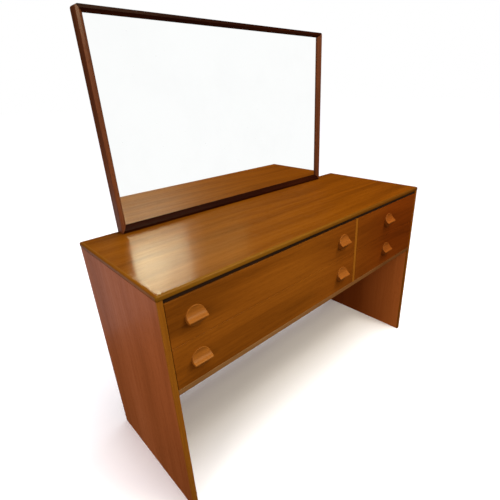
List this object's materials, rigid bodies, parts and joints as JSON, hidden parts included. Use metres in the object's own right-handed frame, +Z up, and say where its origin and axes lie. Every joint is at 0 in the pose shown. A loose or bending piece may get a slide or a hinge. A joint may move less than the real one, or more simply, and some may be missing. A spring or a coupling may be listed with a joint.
{
  "type": "dressing table with mirror",
  "caption": "Low dressing table on slab side panels, with wide and narrow drawers under a thin top and a framed mirror standing along the back.",
  "frame": {"origin": "on the floor, midway between the ends of the top, and midway between the noses of the pulls and the backs of the mirror supports", "axes": "+X right as a person sits at it, +Y towards the back, +Z up"},
  "size_m": [1.22, 0.4906, 1.324],
  "materials": {
    "teak_top": "satin lacquer",
    "teak_panel": "satin lacquer",
    "teak_lipping": "satin lacquer",
    "teak_drawer_front": "satin lacquer",
    "teak_pull": "satin lacquer",
    "dark_rail": "dark stain",
    "mirror_frame_wood": "dark satin stain",
    "mirror_silvering": "polished",
    "hardboard": "matt",
    "beech": "bare",
    "drawer_oak": "thin lacquer",
    "drawer_plywood": "thin lacquer",
    "screw_steel": "zinc plated",
    "pin_steel": "bright"
  },
  "bodies": {
    "case": {"top_board": "teak_top", "top_front_lipping": "teak_top", "top_left_lipping": "teak_top", "top_right_lipping": "teak_top", "back_panel": "hardboard", "left_side_panel": "teak_panel", "left_panel_lipping": "teak_lipping", "right_side_panel": "teak_panel", "right_panel_lipping": "teak_lipping", "bottom_board": "teak_panel", "bottom_lipping": "teak_lipping", "front_top_rail": "dark_rail", "rear_top_rail": "beech", "centre_partition": "teak_panel", "partition_lipping": "teak_lipping", "case_dowels": "beech", "back_panel_pins": "pin_steel", "wide_bay_runners": "beech", "narrow_bay_runners": "beech", "runner_screws": "screw_steel", "mirror_left_stile": "mirror_frame_wood", "mirror_right_stile": "mirror_frame_wood", "mirror_top_rail": "mirror_frame_wood", "mirror_bottom_rail": "mirror_frame_wood", "mirror_glass": "mirror_silvering", "mirror_backing_board": "hardboard", "mirror_backing_pins": "pin_steel", "mirror_left_support": "beech", "mirror_right_support": "beech", "mirror_screws": "screw_steel"},
    "wide_upper_drawer": {"wide_upper_drawer_bottom": "drawer_plywood", "wide_upper_drawer_left_side": "drawer_oak", "wide_upper_drawer_right_side": "drawer_oak", "wide_upper_drawer_back": "drawer_oak", "wide_upper_drawer_front": "teak_drawer_front", "wide_upper_drawer_left_pull": "teak_pull", "wide_upper_drawer_right_pull": "teak_pull", "wide_upper_drawer_pull_screws": "screw_steel"},
    "wide_lower_drawer": {"wide_lower_drawer_bottom": "drawer_plywood", "wide_lower_drawer_left_side": "drawer_oak", "wide_lower_drawer_right_side": "drawer_oak", "wide_lower_drawer_back": "drawer_oak", "wide_lower_drawer_front": "teak_drawer_front", "wide_lower_drawer_left_pull": "teak_pull", "wide_lower_drawer_right_pull": "teak_pull", "wide_lower_drawer_pull_screws": "screw_steel"},
    "narrow_upper_drawer": {"narrow_upper_drawer_bottom": "drawer_plywood", "narrow_upper_drawer_left_side": "drawer_oak", "narrow_upper_drawer_right_side": "drawer_oak", "narrow_upper_drawer_back": "drawer_oak", "narrow_upper_drawer_front": "teak_drawer_front", "narrow_upper_drawer_pull": "teak_pull", "narrow_upper_drawer_pull_screws": "screw_steel"},
    "narrow_lower_drawer": {"narrow_lower_drawer_bottom": "drawer_plywood", "narrow_lower_drawer_left_side": "drawer_oak", "narrow_lower_drawer_right_side": "drawer_oak", "narrow_lower_drawer_back": "drawer_oak", "narrow_lower_drawer_front": "teak_drawer_front", "narrow_lower_drawer_pull": "teak_pull", "narrow_lower_drawer_pull_screws": "screw_steel"}
  },
  "joints": [
    {"name": "wide_upper_drawer_slide", "type": "slide", "parent": "case", "child": "wide_upper_drawer", "axis": [0, -1, 0], "range_m": [0, 0.32]},
    {"name": "wide_lower_drawer_slide", "type": "slide", "parent": "case", "child": "wide_lower_drawer", "axis": [0, -1, 0], "range_m": [0, 0.32]},
    {"name": "narrow_upper_drawer_slide", "type": "slide", "parent": "case", "child": "narrow_upper_drawer", "axis": [0, -1, 0], "range_m": [0, 0.32]},
    {"name": "narrow_lower_drawer_slide", "type": "slide", "parent": "case", "child": "narrow_lower_drawer", "axis": [0, -1, 0], "range_m": [0, 0.32]}
  ]
}
